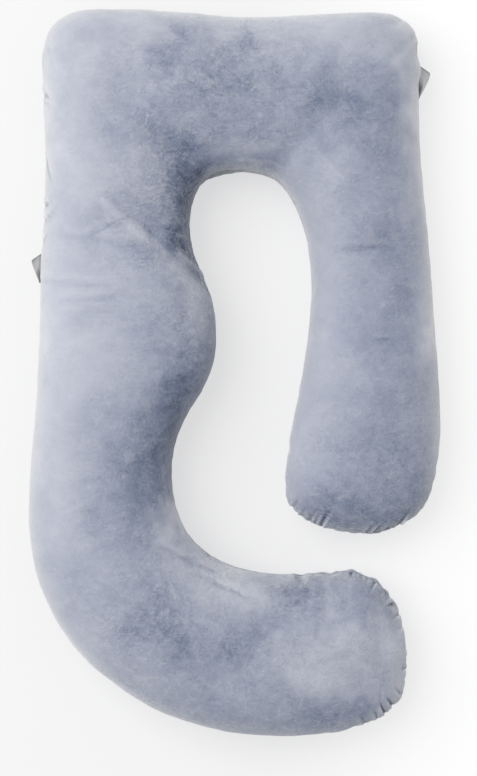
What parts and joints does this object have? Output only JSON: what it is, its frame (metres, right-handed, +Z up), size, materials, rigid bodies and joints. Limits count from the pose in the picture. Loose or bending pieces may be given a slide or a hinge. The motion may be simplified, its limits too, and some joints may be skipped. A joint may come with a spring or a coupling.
{
  "type": "pregnancy pillow",
  "caption": "Full-length body pillow in a plush cover: straight head bar, short arm, long arm with belly bump, and hooked end.",
  "frame": {"origin": "centre of the bounding box, on the surface that the pillow lies on", "axes": "+Y from the hook towards the head bar, +X from the long arm towards the short arm, +Z up out of the upper face"},
  "size_m": [0.8238, 1.4528, 0.2021],
  "materials": {
    "plush_cover": "pale blue-grey short-pile velvet with a crushed nap",
    "tab_tape": "smooth grey satin tape"
  },
  "bodies": {
    "root": {"pillow": "plush_cover", "tab_right": "tab_tape", "tab_left": "tab_tape"}
  },
  "joints": []
}
